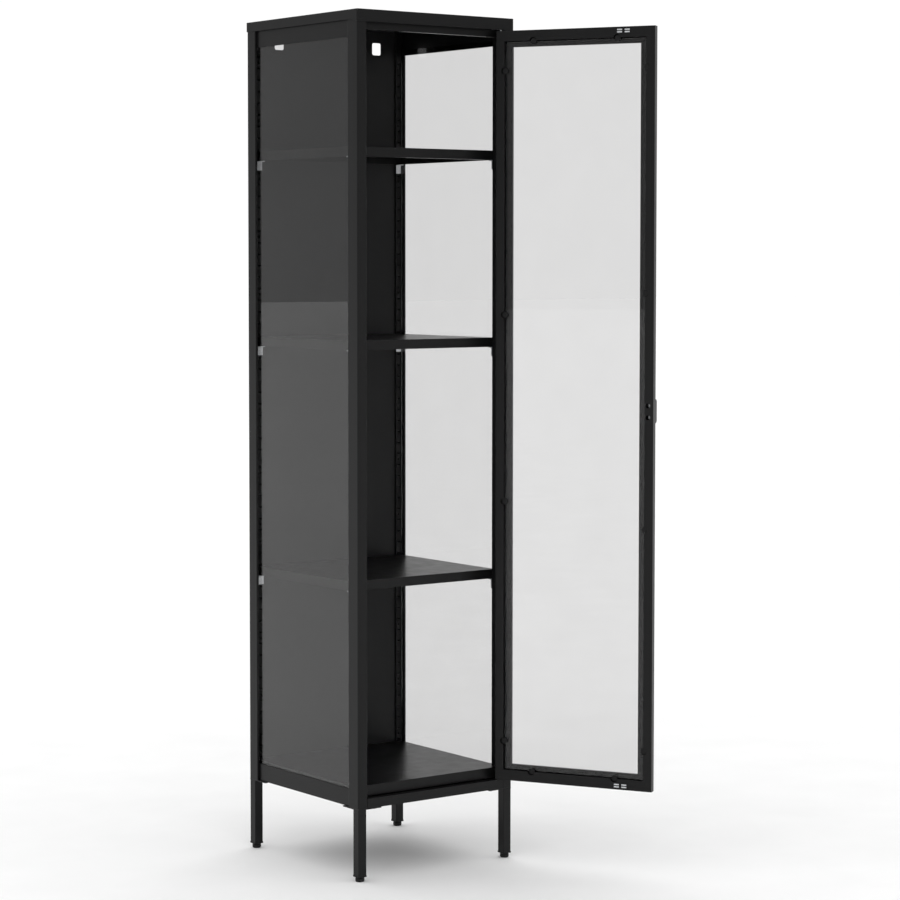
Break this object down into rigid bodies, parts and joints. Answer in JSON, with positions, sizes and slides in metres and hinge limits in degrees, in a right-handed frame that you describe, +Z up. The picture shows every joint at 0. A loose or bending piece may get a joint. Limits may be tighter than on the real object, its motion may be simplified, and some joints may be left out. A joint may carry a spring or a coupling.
{
  "type": "tower display case",
  "caption": "Tall folded-steel display cabinet on tube legs with glass sides, adjustable shelves on clips and a framed glass door on pin hinges.",
  "frame": {"origin": "centre of the object's bounding box in plan, at floor level, with the door open at 120 degrees", "axes": "+Z up, +X to the right seen from the front, +Y from the front to the back"},
  "size_m": [0.5672, 0.723, 1.8],
  "materials": {
    "black_steel": "matte fine-texture powder coat",
    "zinc_steel": "bright zinc plate",
    "clear_glass": "clear polished tempered glass",
    "black_plastic": "fine matte moulding"
  },
  "bodies": {
    "cabinet": {"top_panel": "black_steel", "back_panel": "black_steel", "base_pan": "black_steel", "floor_panel": "black_steel", "door_stop": "black_steel", "post_front_left": "black_steel", "post_front_right": "black_steel", "post_rear_left": "black_steel", "post_rear_right": "black_steel", "leg_front_left": "black_steel", "leg_front_right": "black_steel", "leg_rear_left": "black_steel", "leg_rear_right": "black_steel", "left_top_rail": "black_steel", "left_bottom_rail": "black_steel", "left_glass": "clear_glass", "right_top_rail": "black_steel", "right_bottom_rail": "black_steel", "right_glass": "clear_glass", "upper_hinge": "zinc_steel", "lower_hinge": "zinc_steel", "top_shelf": "black_steel", "top_shelf_clip_front_left": "zinc_steel", "top_shelf_clip_front_right": "zinc_steel", "top_shelf_clip_rear_left": "zinc_steel", "top_shelf_clip_rear_right": "zinc_steel", "middle_shelf": "black_steel", "middle_shelf_clip_front_left": "zinc_steel", "middle_shelf_clip_front_right": "zinc_steel", "middle_shelf_clip_rear_left": "zinc_steel", "middle_shelf_clip_rear_right": "zinc_steel", "bottom_shelf": "black_steel", "bottom_shelf_clip_front_left": "zinc_steel", "bottom_shelf_clip_front_right": "zinc_steel", "bottom_shelf_clip_rear_left": "zinc_steel", "bottom_shelf_clip_rear_right": "zinc_steel"},
    "door": {"door_frame": "black_steel", "door_glass": "clear_glass", "glass_retainer_1": "black_plastic", "glass_retainer_2": "black_plastic", "glass_retainer_3": "black_plastic", "glass_retainer_4": "black_plastic", "glass_retainer_5": "black_plastic", "glass_retainer_6": "black_plastic", "glass_retainer_7": "black_plastic", "glass_retainer_8": "black_plastic", "glass_retainer_9": "black_plastic", "glass_retainer_10": "black_plastic", "glass_retainer_11": "black_plastic", "glass_retainer_12": "black_plastic", "magnetic_catch_top": "black_plastic", "magnetic_catch_bottom": "black_plastic", "handle": "black_steel", "handle_screw_1": "zinc_steel", "handle_screw_2": "zinc_steel"},
    "foot_front_left": {"foot_front_left": "black_plastic"},
    "foot_front_right": {"foot_front_right": "black_plastic"},
    "foot_rear_left": {"foot_rear_left": "black_plastic"},
    "foot_rear_right": {"foot_rear_right": "black_plastic"}
  },
  "joints": [
    {"name": "door_hinge", "type": "hinge", "parent": "cabinet", "child": "door", "pos_m": [0.09059, -0.05316, 0.9735], "axis": [0, 0, 1], "range_deg": [-120, 0]},
    {"name": "foot_front_left_screw", "type": "slide", "parent": "cabinet", "child": "foot_front_left", "axis": [0, 0, 1], "range_m": [-0.012, 0.001]},
    {"name": "foot_front_right_screw", "type": "slide", "parent": "cabinet", "child": "foot_front_right", "axis": [0, 0, 1], "range_m": [-0.012, 0.001]},
    {"name": "foot_rear_left_screw", "type": "slide", "parent": "cabinet", "child": "foot_rear_left", "axis": [0, 0, 1], "range_m": [-0.012, 0.001]},
    {"name": "foot_rear_right_screw", "type": "slide", "parent": "cabinet", "child": "foot_rear_right", "axis": [0, 0, 1], "range_m": [-0.012, 0.001]}
  ]
}
